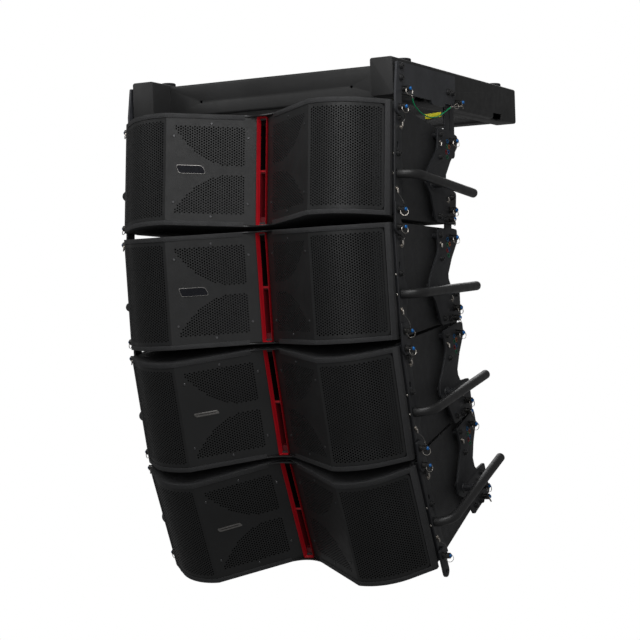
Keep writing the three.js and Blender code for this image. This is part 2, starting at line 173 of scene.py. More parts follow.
def rounded(corners, radius=0.0, steps=4):
    """Outline with rounded corners; a corner is (u, v), or (u, v, its own radius)."""
    points = []
    for i, corner in enumerate(corners):
        here = Vector(corner[:2])
        before = Vector(corners[i - 1][:2]) - here
        after = Vector(corners[(i + 1) % len(corners)][:2]) - here
        wanted = corner[2] if len(corner) > 2 else radius
        half = before.angle(after) / 2
        if wanted <= 0 or half > 1.55:
            points.append(tuple(here))
            continue
        reach = min(wanted / tan(half), 0.49 * before.length, 0.49 * after.length)
        true = reach * tan(half)
        before.normalize()
        after.normalize()
        middle = here + (before + after).normalized() * true / sin(half)
        start, end = here + before * reach - middle, here + after * reach - middle
        for k in range(steps + 1):
            arm = start.lerp(end, k / steps)
            points.append(tuple(middle + arm.normalized() * true))
    return points


def rectangle(u0, u1, v0, v1, radius=0.0, steps=4):
    return rounded([(u0, v0), (u1, v0), (u1, v1), (u0, v1)], radius, steps)


TO_SPACE = {
    "X": lambda u, v, w: (w, u, v),
    "Y": lambda u, v, w: (u, w, v),
    "Z": lambda u, v, w: (u, v, w),
}


def prism(outline, low, high, axis="X", holes=()):
    """Flat outline with holes, extruded along an axis from low to high."""
    loops = [list(outline), *[list(h) for h in holes]]
    flat = [p for loop in loops for p in loop]
    count = len(flat)
    to = TO_SPACE[axis]
    points = [to(u, v, low) for u, v in flat] + [to(u, v, high) for u, v in flat]
    if holes:
        caps = tessellate_polygon([[Vector((u, v, 0)) for u, v in loop] for loop in loops])
    else:
        caps = [tuple(range(count))]
    faces = [*map(tuple, caps), *[tuple(i + count for i in reversed(f)) for f in caps]]
    start = 0
    for loop in loops:
        for i in range(len(loop)):
            a, b = start + i, start + (i + 1) % len(loop)
            faces.append((a, b, b + count, a + count))
        start += len(loop)
    return points, faces


def discs(places, radius, low, high, sides=20):
    """Round plates along X at (y, z) places."""
    return merge(*[prism(circle(y, z, radius, sides), low, high) for y, z in places])


def at_each(places, shape):
    """Copies of a shape at (y, z) places."""
    return merge(*[moved(shape, shift(0, y, z)) for y, z in places])


def bridge(rings, closed=False, caps="both"):
    """Walls between rings of equal length, capped at both ends, the last end or none."""
    count = len(rings[0])
    points = [Vector(p) for ring in rings for p in ring]
    faces = []
    for r in range(len(rings) if closed else len(rings) - 1):
        n = (r + 1) % len(rings)
        for i in range(count):
            j = (i + 1) % count
            faces.append((r * count + i, r * count + j, n * count + j, n * count + i))
    if caps == "both" and not closed:
        faces.append(tuple(reversed(range(count))))
    if caps != "none" and not closed:
        faces.append(tuple(range(len(points) - count, len(points))))
    return points, faces


def lathe(profile, sides=24):
    """Solid of revolution about the X axis from (x, radius) pairs that start and end on it."""
    rings = [[Vector((x, *p)) for p in circle(0, 0, radius, sides)] for x, radius in profile[1:-1]]
    points, faces = bridge(rings, caps="none")
    last = len(points)
    points += [Vector((x, 0, 0)) for x, _ in (profile[0], profile[-1])]
    for i in range(sides):
        j = (i + 1) % sides
        faces += [(j, i, last), (last - sides + i, last - sides + j, last + 1)]
    return points, faces


def tube(path, radius, sides=12, closed=False):
    """Round bar along a path; radius is one number or one per point."""
    line = [Vector(p) for p in path]
    radii = radius if isinstance(radius, (list, tuple)) else [radius] * len(line)
    rings, normal = [], None
    for i, point in enumerate(line):
        if closed:
            along = line[(i + 1) % len(line)] - line[i - 1]
        else:
            along = line[min(i + 1, len(line) - 1)] - line[max(i - 1, 0)]
        along.normalize()
        normal = along.orthogonal() if normal is None else normal - along * normal.dot(along)
        normal.normalize()
        side = along.cross(normal)
        rings.append([point + (normal * u + side * v) * radii[i]
                      for u, v in circle(0, 0, 1, sides)])
    return bridge(rings, closed)


def wire_loop(centre, u, v, outline, wire, across=8):
    """Closed wire along a flat outline in the plane of two axes."""
    return tube([Vector(centre) + u * a + v * b for a, b in outline], wire, across, closed=True)


def smooth_path(points, steps=4):
    """Catmull-Rom line through the points."""
    line = [Vector(p) for p in points]
    out = []
    for i in range(len(line) - 1):
        a, b = line[max(i - 1, 0)], line[i]
        c, d = line[i + 1], line[min(i + 2, len(line) - 1)]
        for k in range(steps):
            t = k / steps
            out.append(0.5 * (2 * b + (c - a) * t + (2 * a - 5 * b + 4 * c - d) * t * t
                              + (3 * b - a - 3 * c + d) * t * t * t))
    out.append(line[-1])
    return out


def new_object(name, data, matrix=None):
    obj = bpy.data.objects.new(name, data)
    bpy.context.scene.collection.objects.link(obj)
    if matrix is not None:
        obj.matrix_world = matrix
    return obj


def to_mesh(name, shape, material, bevel=0.0, sharp=32):
    """A closed shape as a mesh in metres, with its sharp edges bevelled and smooth shading."""
    mesh = bpy.data.meshes.new(name)
    mesh.from_pydata([Vector(p) * MM for p in shape[0]], [], shape[1])
    work = bmesh.new()
    work.from_mesh(mesh)
    bmesh.ops.remove_doubles(work, verts=work.verts, dist=1e-6)
    bmesh.ops.recalc_face_normals(work, faces=work.faces)
    if bevel:
        limit = radians(sharp)
        edges = [e for e in work.edges
                 if len(e.link_faces) == 2 and e.calc_face_angle(0) > limit]
        bmesh.ops.bevel(work, geom=edges, offset=bevel * MM, segments=2, profile=0.5,
                        affect="EDGES", clamp_overlap=True)
    work.to_mesh(mesh)
    work.free()
    mesh.polygons.foreach_set("use_smooth", [True] * len(mesh.polygons))
    mesh.set_sharp_from_angle(angle=radians(sharp))
    for m in material if isinstance(material, (list, tuple)) else [material]:
        mesh.materials.append(m)
    return mesh


def boolean(first, *steps):
    """The first shape after (shape, operation) steps, as a new shape."""
    blank = bpy.data.materials[0]
    body, *tools = [new_object("boolean", to_mesh("boolean", shape, blank, sharp=180))
                    for shape in (first, *[shape for shape, _ in steps])]
    for tool, (_, operation) in zip(tools, steps):
        step = body.modifiers.new("step", "BOOLEAN")
        step.operation, step.solver, step.object = operation, "EXACT", tool
    bpy.context.view_layer.update()
    made = bpy.data.meshes.new_from_object(
        body.evaluated_get(bpy.context.evaluated_depsgraph_get()))
    shape = ([v.co / MM for v in made.vertices], [tuple(p.vertices) for p in made.polygons])
    for used in (body, *tools):
        bpy.data.objects.remove(used)
    bpy.data.meshes.remove(made)
    return shape


def cut(first, *tools):
    return boolean(first, *[(tool, "DIFFERENCE") for tool in tools])


# ---- materials ----


SLOT_OF = {}


def add_node(tree, kind, output, links=None, **values):
    """Add a node with its values and links; gives one of its outputs."""
    node = tree.nodes.new("ShaderNode" + kind)
    for name, value in values.items():
        node.inputs[name.replace("_", " ")].default_value = value
    for name, socket in (links or {}).items():
        tree.links.new(socket, node.inputs[name])
    return node.outputs[output]


class Surface:
    """One Principled material for a record slot, with nodes added step by step."""

    def __init__(self, name, slot, roughness, metallic=0.0, coat=0.0, specular=0.5):
        self.material = bpy.data.materials.new(name)
        SLOT_OF[self.material.name] = slot
        self.material.use_nodes = True
        self.tree = self.material.node_tree
        self.shader = self.tree.nodes["Principled BSDF"].inputs
        for socket, value in (("Roughness", roughness), ("Metallic", metallic),
                              ("Coat Weight", coat), ("Specular IOR Level", specular)):
            self.shader[socket].default_value = value
        self.place = add_node(self.tree, "TexCoord", "Object")

    def noise(self, scale, detail=2.0, rough=0.5, stretch=None):
        source = self.place
        if stretch:
            source = add_node(self.tree, "Mapping", "Vector", {"Vector": source}, Scale=stretch)
        return add_node(self.tree, "TexNoise", "Fac", {"Vector": source},
                        Scale=scale, Detail=detail, Roughness=rough)

    def finish(self, colour, mottle, stops, sheen, gloss, grain, depth, strength):
        """Colour, roughness and bump from three factors; a stop is (position, brightness)."""
        ramp = self.tree.nodes.new("ShaderNodeValToRGB")
        elements = ramp.color_ramp.elements
        while len(elements) < len(stops):
            elements.new(0.5)
        for element, (at, level) in zip(elements, stops):
            element.position = at
            element.color = (*[min(1.0, c * level) for c in colour], 1)
        self.tree.links.new(mottle, ramp.inputs["Fac"])
        rough = add_node(self.tree, "MapRange", "Result", {"Value": sheen},
                         From_Min=0.3, From_Max=0.7, To_Min=gloss[0], To_Max=gloss[1])
        bump = add_node(self.tree, "Bump", "Normal", {"Height": grain},
                        Strength=strength, Distance=depth)
        for socket, source in (("Base Color", ramp.outputs["Color"]), ("Roughness", rough),
                               ("Normal", bump)):
            self.tree.links.new(source, self.shader[socket])
        return self.material


def painted(name, slot, colour, roughness, grain, depth, specular=0.5, metallic=0.0, coat=0.0):
    """Sprayed or powder-coated finish: mottled colour, uneven sheen and a fine grain."""
    s = Surface(name, slot, roughness, metallic, coat, specular)
    mottle = s.noise(9.0, 4.0, 0.6)
    return s.finish(colour, mottle, ((0.3, 0.75), (0.55, 1), (0.75, 1.25)), s.noise(60.0, 3.0),
                    (roughness - 0.06, roughness + 0.06), s.noise(grain, 2.0, 0.6), depth, 1.0)


def textured_paint(name, slot, colour):
    """Thick sprayed cabinet paint with a coarse pebble grain, painted darker in the grain's hollows
    and lighter on its peaks as painted shade and highlight.
    """
    s = Surface(name, slot, 0.6, specular=0.45)
    pebble = s.noise(900.0, 3.0, 0.55)
    # Colour follows the pebble height: painted shade in the hollows, painted highlight specks on
    # the peaks.
    return s.finish(colour, pebble, ((0.35, 0.7), (0.52, 1), (0.7, 1.9)), s.noise(40.0, 3.0),
                    (0.52, 0.7), pebble, 0.0006, 0.9)


def anodised(name, slot, colour, roughness, metallic):
    """Smooth lacquered finish with faint vertical drawing lines."""
    s = Surface(name, slot, roughness, metallic, coat=0.4)
    s.shader["Coat Roughness"].default_value = 0.2
    lines = s.noise(300.0, 2.0, 0.5, stretch=(1.0, 1.0, 0.05))
    return s.finish(colour, lines, ((0.3, 0.82), (0.7, 1.12)), lines,
                    (roughness - 0.05, roughness + 0.08), lines, 0.00005, 0.4)


def bare_metal(name, slot, colour, roughness):
    """Turned or drawn metal with fine lines."""
    s = Surface(name, slot, roughness, 1.0)
    lines = s.noise(400.0, 3.0, 0.6, stretch=(1.0, 1.0, 0.1))
    return s.finish(colour, lines, ((0.25, 0.75), (0.75, 1.1)), s.noise(150.0),
                    (roughness - 0.08, roughness + 0.12), lines, 0.00004, 0.5)


def moulded(name, slot, colour, roughness, specular=0.5):
    """Moulded plastic or rubber with a faint surface texture."""
    s = Surface(name, slot, roughness, specular=specular)
    return s.finish(colour, s.noise(70.0, 3.0), ((0.3, 0.85), (0.7, 1.1)), s.noise(200.0),
                    (roughness - 0.04, roughness + 0.08), s.noise(1500.0), 0.00008, 0.6)


def paper_cone(name, slot, colour):
    """Pressed paper with fibres."""
    s = Surface(name, slot, 0.75, specular=0.3)
    fibre = s.noise(500.0, 4.0, 0.7, stretch=(1.0, 0.3, 1.0))
    return s.finish(colour, fibre, ((0.3, 0.6), (0.7, 1.5)), fibre, (0.65, 0.85),
                    fibre, 0.0003, 0.7)


BLACK_WOOD = textured_paint("black_textured_paint", "cabinet_paint", (0.034, 0.0345, 0.036))
SIDE_WOOD = painted("black_cabinet_side", "cabinet_paint", (0.0125, 0.0128, 0.013),
                    0.62, 1100.0, 0.00022, 0.4)
GRILLE_COAT = painted("black_grille_coat", "grille_steel", (0.0145, 0.015, 0.0155),
                      0.5, 1400.0, 0.00008, 0.5)
RIGGING_COAT = painted("black_rigging_coat", "rigging_steel", (0.022, 0.0228, 0.0255),
                       0.46, 1300.0, 0.0001, 0.5)
BEAM_COAT = painted("black_beam_coat", "rigging_steel", (0.026, 0.0262, 0.0265),
                    0.5, 1200.0, 0.0001, 0.5)
CHEEK_COAT = painted("grey_black_cheek_coat", "rigging_steel", (0.052, 0.054, 0.060),
                     0.5, 1200.0, 0.0001, 0.5)
HANDLE_COAT = painted("black_handle_coat", "rigging_steel", (0.022, 0.022, 0.0225),
                      0.4, 900.0, 0.00006, 0.5)
LIP_COAT = painted("black_lip_gloss", "cabinet_paint", (0.012, 0.012, 0.013),
                   0.22, 600.0, 0.00004, 0.6, coat=0.6)
HORN_RED = anodised("red_horn", "horn_red", (0.55, 0.006, 0.016), 0.34, 0.25)
# The two throat finishes below are painted shade: the horn's red darkened for the lower throat, and
# near black as a painted shadow for the upper one.
HORN_PAINTED_SHADE = anodised("deep_red_throat", "horn_red", (0.14, 0.003, 0.008), 0.5, 0.1)
THROAT_PAINTED_SHADOW = moulded("throat_black", "horn_red", (0.004, 0.0015, 0.0015), 0.75, 0.08)
DRIVER_COAT = painted("driver_frame_coat", "driver_metal", (0.012, 0.012, 0.012),
                      0.55, 900.0, 0.0001)
CONE = paper_cone("paper_cone", "driver_metal", (0.012, 0.0115, 0.011))
SURROUND = moulded("rubber_surround", "driver_metal", (0.01, 0.01, 0.01), 0.6, 0.4)
STEEL = bare_metal("stainless_steel", "stainless", (0.30, 0.29, 0.28), 0.3)
GUNMETAL = bare_metal("gunmetal_pin", "stainless", (0.13, 0.128, 0.125), 0.32)
BRIGHT = bare_metal("bright_zinc", "stainless", (0.62, 0.58, 0.53), 0.24)
BLACK_SCREW = painted("black_oxide_screw", "rigging_steel", (0.06, 0.06, 0.061),
                      0.26, 900.0, 0.00005, 0.6,
                      metallic=0.5)
GREY_SCREW = bare_metal("grille_screw_steel", "grille_steel", (0.14, 0.14, 0.145), 0.34)
BLUE = moulded("blue_button_plastic", "blue_plastic", (0.0, 0.16, 0.52), 0.35)
GREEN = moulded("green_cable_jacket", "green_pvc", (0.0, 0.33, 0.12), 0.35)
YELLOW = moulded("yellow_vinyl_tag", None, (0.75, 0.68, 0.01), 0.45)
RUBBER = moulded("foot_rubber", "foot_rubber", (0.018, 0.018, 0.02), 0.8, 0.3)
BADGE_GLASS = moulded("badge_inset", "grille_steel", (0.002, 0.003, 0.007), 0.3, 0.2)
SOCKET = moulded("connector_plastic", "blue_plastic", (0.01, 0.01, 0.011), 0.4)
RING_COLOURS = [moulded(f"ring_{name}", "blue_plastic", colour, 0.5) for name, colour in (
    ("blue", (0.01, 0.12, 0.3)), ("green", (0.02, 0.16, 0.08)),
    ("orange", (0.4, 0.1, 0.02)), ("red", (0.3, 0.015, 0.015)))]

# ---- camera, light and floor ----

FLOOR_Z, FLOOR_RADIUS = -8, 40

SENSOR = 36.0
IMAGE = 640
FOCAL_PIXELS = 2137
DISTANCE = 4.609
AZIMUTH, ELEVATION, ROLL = 27.85, -1.69, -1.65
TARGET = Vector((0.158, -0.3797, -0.5612))
GROUND, SKY = 0.16, 0.11
GROUND_AT, SKY_AT = -0.2, 0.6
LAMPS_AIM = Vector((0, -0.2, -0.56))
LAMPS = [  # name, azimuth, elevation, distance, size, power
    ("near_high", 35, 48, 2.3, 1.4, 21),
    ("near_left", -55, 42, 2.3, 1.4, 7.5),
    ("near_mid", 18, 12, 2.7, 1.3, 7),
    ("mirror", 43, -2, 4.5, 2.0, 6),
    ("back", 200, 30, 4.5, 2.5, 25),
]


def direction(azimuth, elevation):
    a, e = radians(azimuth), radians(elevation)
    return Vector((sin(a) * cos(e), -cos(a) * cos(e), sin(e)))


def aimed(away, at, roll=0.0):
    """Matrix that looks back along a direction, from a place."""
    turn = away.to_track_quat("Z", "Y").to_matrix().to_4x4()
    return Matrix.Translation(at) @ turn @ Matrix.Rotation(radians(roll), 4, "Z")


def make_camera():
    back = direction(AZIMUTH, ELEVATION)
    data = bpy.data.cameras.new("camera")
    data.sensor_width = SENSOR
    data.lens = FOCAL_PIXELS * SENSOR / IMAGE
    data.clip_end = 60
    place = aimed(back, TARGET + back * DISTANCE, ROLL)
    bpy.context.scene.camera = new_object("camera", data, place)


def make_lamp(name, azimuth, elevation, distance, size, power):
    away = direction(azimuth, elevation)
    data = bpy.data.lights.new(name, "AREA")
    data.size = size
    data.energy = power
    new_object(name, data, aimed(away, LAMPS_AIM + away * distance))


def make_studio():
    """White backdrop to the eye; to the object, a dim sky over a paler ground, and soft boxes."""
    world = bpy.data.worlds.new("studio")
    world.use_nodes = True
    bpy.context.scene.world = world
    tree = world.node_tree
    seen = add_node(tree, "LightPath", "Is Camera Ray")
    place = add_node(tree, "TexCoord", "Generated")
    height = add_node(tree, "SeparateXYZ", "Z", {"Vector": place})
    sky = add_node(tree, "MapRange", "Result", {"Value": height},
                   From_Min=GROUND_AT, From_Max=SKY_AT, To_Min=GROUND, To_Max=SKY)
    level = add_node(tree, "MapRange", "Result", {"Value": seen, "To Min": sky}, To_Max=1.0)
    background = tree.nodes["Background"].inputs
    background["Color"].default_value = (1, 1, 1, 1)
    tree.links.new(level, background["Strength"])
    for lamp in LAMPS:
        make_lamp(*lamp)
    bpy.context.scene.view_settings.view_transform = "Standard"


def make_floor():
    """Plain white floor far below the hung object, seen by the camera and left out of the light."""
    paint = bpy.data.materials.new("floor_white")
    paint.use_nodes = True
    shader = paint.node_tree.nodes["Principled BSDF"].inputs
    for name, value in (("Base Color", (0, 0, 0, 1)), ("Specular IOR Level", 0),
                        ("Emission Color", (1, 1, 1, 1)), ("Emission Strength", 1)):
        shader[name].default_value = value
    disc = prism(circle(0, 0, FLOOR_RADIUS / MM, 64), -1, 0, "Z")
    floor = new_object("floor", to_mesh("floor", disc, paint), shift(0, 0, FLOOR_Z))
    for ray in ("diffuse", "glossy", "transmission", "volume_scatter", "shadow"):
        setattr(floor, f"visible_{ray}", False)


make_camera()
make_studio()
make_floor()

# ---- placing ----

STANDS_FOR = {
    "frame_beam_tube": "frame_beam",
    "crossbeam_tube_front": "crossbeam_front",
    "crossbeam_tube_rear": "crossbeam_rear",
    "cheek_side_plate": "cheek_plate",
    "rubber_foot_front": "foot_front",
    "rubber_foot_rear": "foot_rear",
    "drop_link_bar": "drop_link",
    "rear_link_bar": "rear_link",
    "cabinet_shell": "enclosure",
    "waveguide_horn": "waveguide",
    "perforated_grille": "grille",
    "woofer_basket": "woofer",
    "front_rail": "side_frame",
}
OWN_SLOT = {"connector_plate": "driver_metal", "connector_screws": "stainless"}
SHARP_DEG = {"waveguide_horn": 28, "perforated_grille": 15}
REWORK = {}
SHARED = {}


def piece(name, data, body, slot=None, matrix=None, replaces=()):
    """One object that rides on a body; a slot, its own or its first material's, is worked out and
    then left unused.
    """
    obj = new_object(name, data, matrix)
    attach(obj, body)
    slot = slot or SLOT_OF[data.materials[0].name]
    if replaces:
        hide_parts(*replaces)
    return obj


def part(base, shape, finish, bevel=0.0, number=None, side=None, body=None, above=0):
    """A piece of the frame or of a numbered cabinet: made once and mirrored for the left side."""
    key = f"{base}_{side}" if side else base
    if key not in SHARED:
        made = moved(shape, MIRROR) if side == "left" else shape
        SHARED[key] = to_mesh(key, made, finish, bevel, SHARP_DEG.get(base, 32))
        if base in REWORK:
            REWORK[base](SHARED[key])
    name = f"{key}_{number}" if number else key
    body = body or (f"cabinet_{number}" if number else "frame")
    nodes = [name.replace(base, STANDS_FOR[base])] if base in STANDS_FOR else []
    matrix = MATRIX[number - above] if number else None
    return piece(name, SHARED[key], body, OWN_SLOT.get(base), matrix, nodes)


def make_parts(rows, number=None, side=None):
    for base, shape, finish, bevel in rows:
        part(base, shape, finish, bevel, number, side)


JOINT_AT = {j["name"]: Vector(j["pos_m"]) for j in frame["joints"] if j["type"] == "hinge"}


def cabinet_matrix(number):
    turn = Matrix.Rotation(radians(TILTS_DEG[number]), 4, "X")
    hinge = JOINT_AT[f"splay_{number}"]
    arm = turn @ (Vector((0, HINGE.x, HINGE.y)) * MM)
    return Matrix.Translation(Vector((0, hinge.y, hinge.z)) - arm) @ turn


MATRIX = {n: cabinet_matrix(n) for n in CABINETS}

# ---- lanyard, the one free cord ----

LANYARD_R = 0.0014
LANYARD_X = 0.348
LANYARD_ROUTE = [(LANYARD_X, y, z) for y, z in (
    (-0.282, -0.088), (-0.279, -0.094), (-0.272, -0.1015), (-0.261, -0.1075), (-0.248, -0.1125),
    (-0.234, -0.1163), (-0.219, -0.1189), (-0.203, -0.1203), (-0.187, -0.1202),
    (-0.171, -0.1184), (-0.156, -0.1152), (-0.141, -0.1108), (-0.126, -0.1054),
    (-0.112, -0.0998), (-0.098, -0.094), (-0.084, -0.088))]


def make_lanyard():
    curve = bpy.data.curves.new("green_lanyard", "CURVE")
    curve.dimensions = "3D"
    curve.bevel_depth = LANYARD_R
    curve.bevel_resolution = 4
    curve.use_fill_caps = True
    spline = curve.splines.new("POLY")
    line = smooth_path(LANYARD_ROUTE, 4)
    spline.points.add(len(line) - 1)
    for point, at in zip(spline.points, line):
        point.co = (*at, 1)
    curve.materials.append(GREEN)
    cord = piece("green_lanyard", curve, "frame", replaces=["lanyard"])


make_lanyard()

# ---- fasteners, pins and rings ----


def button_bolt(radius, height, socket):
    """Button-head bolt along +X with a hexagon socket, standing on x = 0."""
    shoulder = height * 0.45
    hexagon = [circle(0, 0, socket, 6)]
    base = lathe([(0, 0), (0, radius), (shoulder, radius * 0.97), (shoulder, 0)], 20)
    rim = prism(circle(0, 0, radius * 0.96, 20), shoulder - 0.2, height * 0.8, holes=hexagon)
    crown = prism(circle(0, 0, radius * 0.74, 20), height * 0.8 - 0.1, height, holes=hexagon)
    return merge(base, rim, crown)


def washer(radius, hole=3.2, thick=1.0):
    return prism(circle(0, 0, radius, 24), 0, thick, holes=[circle(0, 0, hole, 20)])


def bolt_set(places, x, radius=BOLT_R):
    """Washers and bolts on one side plate at (y, z) places."""
    bolt = merge(washer(radius * 1.25), moved(button_bolt(radius, 5.6, 2.6), shift(1.0)))
    return at_each(places, moved(bolt, shift(x)))


PIN_HEAD_IN = LUG_OUT + 0.5
PIN_HEAD_OUT = PIN_HEAD_IN + 16
RING_R = 8.5


def pin_body(inner=RAIL_IN - 3):
    """Quick-release pin along +X: ball-nosed shank, collar and grooved head."""
    out = PIN_HEAD_OUT
    return lathe([
        (inner, 0), (inner, 2.4), (inner + 1.2, 3.7), (inner + 3, 3.9), (PIN_HEAD_IN, 3.9),
        (PIN_HEAD_IN, 7.6), (PIN_HEAD_IN + 0.4, 8), (PIN_HEAD_IN + 2.2, 8),
        (PIN_HEAD_IN + 2.6, 6.6), (out - 4, 6.6), (out - 3.4, 5.9), (out - 2.6, 5.9),
        (out - 2, 6.6), (out - 0.5, 6.6), (out, 6.1), (out, 4.1), (out - 8, 4.1), (out - 8, 0),
    ], 28)


def pin_button_shape():
    out = PIN_HEAD_OUT
    return lathe([(out - 4.5, 0), (out - 4.5, 3.6), (out + 2.2, 3.6), (out + 3.1, 3.1),
                  (out + 3.5, 2.2), (out + 3.5, 0)], 24)


def split_ring(y, z, lean):
    """Two-turn wire ring through a pin head at (y, z), hanging below it and leaning outward."""
    normal = Vector((cos(lean), -sin(lean), 0.25))
    facing = normal.normalized()
    across = facing.cross(Vector((0, 0, 1))).normalized()
    down = across.cross(facing).normalized()
    if down.z > 0:
        down = -down
    centre = Vector((PIN_HEAD_OUT - 3, y, z)) + down * (RING_R - 2.5)
    u = facing.orthogonal().normalized()
    return merge(*[wire_loop(centre + facing * turn, u, facing.cross(u),
                             circle(0, 0, RING_R, 36), 0.5, 6) for turn in (-0.47, 0.47)])


def split_rings(places, leans):
    return merge(*[split_ring(y, z, lean) for (y, z), lean in zip(places, leans)])


def ferrule(start, end, radius):
    """Swaged sleeve between two points."""
    a, b = Vector(start), Vector(end)
    path = [a.lerp(b, t) for t in (0, 0.08, 0.2, 0.8, 0.92, 1)]
    return tube(path, [radius * k for k in (0.7, 0.95, 1, 1, 0.95, 0.7)], 12)


# ---- fly frame ----


def beam_outline(inset):
    return rectangle(BEAM_OUT - BEAM_W + inset, BEAM_OUT - inset, inset - BEAM_H, -inset,
                     5 - inset * 0.5)


def beam_shape():
    end = -FRAME_FRONT - 3
    cuts = [prism(beam_outline(BEAM_WALL), -end - 1, end + 1, "Y")]
    for start in NOTCHES:
        y = FRAME_FRONT + start
        cuts.append(prism(rectangle(BEAM_OUT - 14, BEAM_OUT + 1, y, y + 50),
                          -BEAM_H - 1, 14 - BEAM_H, "Z"))
    return cut(prism(beam_outline(0), -end, end, "Y"), *cuts)


def crossbeam(front):
    reach, w = BEAM_OUT - BEAM_W - 0.3, BEAM_WALL
    y0, y1, z0, z1 = front, front + CROSS_D, CROSS_TOP - CROSS_H, CROSS_TOP
    inner = rectangle(y0 + w, y1 - w, z0 + w, z1 - w, 3)
    shape = prism(rectangle(y0, y1, z0, z1, 6), -reach, reach, "X", [inner])
    return cut(shape, *[prism(circle(x, z1 - 43, 3.2, 16), y0 - 1, y0 + w + 1, "Y")
                        for x in (193, -193)])


def lug_outline(centre, top, half):
    arc = [(centre[0] + half * cos(pi * (1 + i / 12)),
            centre[1] + half * sin(pi * (1 + i / 12))) for i in range(13)]
    return [(centre[0] - half, top), *arc, (centre[0] + half, top)]


def row_hinge():
    at = JOINT_AT["splay_1"] / MM
    return Vector((at.y, at.z))


def cheek_shape():
    """Side plate of the fly frame, with the row's hinge lug below its front end."""
    hinge = row_hinge()
    front, back, low, high = FRAME_FRONT + 2, FRAME_FRONT + 302, -79, -12
    edge = rounded([(front, high, 4), (back, high, 4), (back, low, 4), (front + 246, low),
                    (front + 240, -88, 4), (front + 176, -88, 4), (front + 170, low),
                    (front, low)])[:-1]
    holes = [circle(*hinge, PIN_BORE, 20)]
    return prism([*edge, *reversed(lug_outline(hinge, low, 14))], LUG_IN, LUG_OUT, "X", holes)


CHEEK_BOLTS = [(FRAME_FRONT + y, z) for y, z in ((21, -21), (19, -46), (262, -52), (286, -52))]
FRAME_PIN = Vector((FRAME_FRONT + 29, -70))
CHAIN_PIN = Vector((FRAME_FRONT + 305, -72))


def lanyard_fittings():
    """Swaged ends of the green lanyard, and the short chain that ties it to the rear pin."""
    route = [Vector(p) / MM for p in LANYARD_ROUTE]
    first = (route[0] - route[1]).normalized()
    last = (route[-1] - route[-2]).normalized()
    fit = merge(ferrule(route[0] + first * 7.5, route[0] + first * 0.4, 2.1),
                ferrule(route[-1] + last * 0.4, route[-1] + last * 9, 2.1))
    part("lanyard_ferrules", fit, BRIGHT)
    start = route[-1] + last * 8
    end = Vector((PIN_HEAD_OUT - 4, CHAIN_PIN.x, CHAIN_PIN.y - 8))
    along = (end - start).normalized()
    links, count = [], 3
    for i in range(count):
        tilt = Vector((1, 0, 0)) if i % 2 else Vector((0.15, 0.3, 1))
        links.append(wire_loop(start.lerp(end, (i + 0.55) / (count + 0.1)), along,
                               along.cross(tilt).normalized(), stadium(0, 0, 19, 10, steps=8), 1.3))
    part("lanyard_chain", merge(*links), BRIGHT)


FOOT_PAD = [(0.3, 0), (0.3, 18), (6.6, 18), (8.2, 17), (9, 15.2), (9, 6.5), (6.2, 5.6), (6.2, 0)]
FOOT_SCREW = [(5.9, 0), (5.9, 5), (7.2, 4.6), (7.9, 3.4), (8.2, 0)]


def foot_part(profile, sides, y):
    """Part of a foot, turned to stand on the right-hand beam."""
    up = Matrix.Rotation(-pi / 2, 4, "Y")
    return moved(lathe(profile, sides), shift(BEAM_OUT - BEAM_W / 2, y) @ up)


def link_shape(pivot, length, half, slot_from=None):
    """Flat link hanging from its pivot, with a lower pin hole and perhaps a long slot."""
    end = 14
    outline = rounded([(pivot.x - half, pivot.y + end), (pivot.x - half, pivot.y - length - end),
                       (pivot.x + half, pivot.y - length - end), (pivot.x + half, pivot.y + end)],
                      min(half - 4, 12), 6)
    holes = [circle(pivot.x, pivot.y, 6.4, 24), circle(pivot.x, pivot.y - length, 5, 20)]
    if slot_from:
        slot = length - 16 + slot_from
        holes.append(stadium(pivot.x, pivot.y + slot_from - slot / 2, slot, 6, pi / 2))
    return prism(outline, LINK_IN, LINK_OUT - 0.3, "X", holes)


def inspection_tag():
    """Blank yellow vinyl tag, tied to the rear crossbeam."""
    length, height = 42, 12
    wave = [(length * i / 12, 2.5 * sin(i / 4)) for i in range(13)]
    outline = wave + [(u, v + 0.8) for u, v in reversed(wave)]
    turn = Matrix.Rotation(radians(TAG_TURN_DEG), 4, "Z")
    tilt = Matrix.Rotation(radians(TAG_TILT_DEG), 4, "Y")
    return moved(prism(outline, -height / 2, height / 2, "Z"),
                 Matrix.Translation(TAG_AT) @ turn @ tilt)


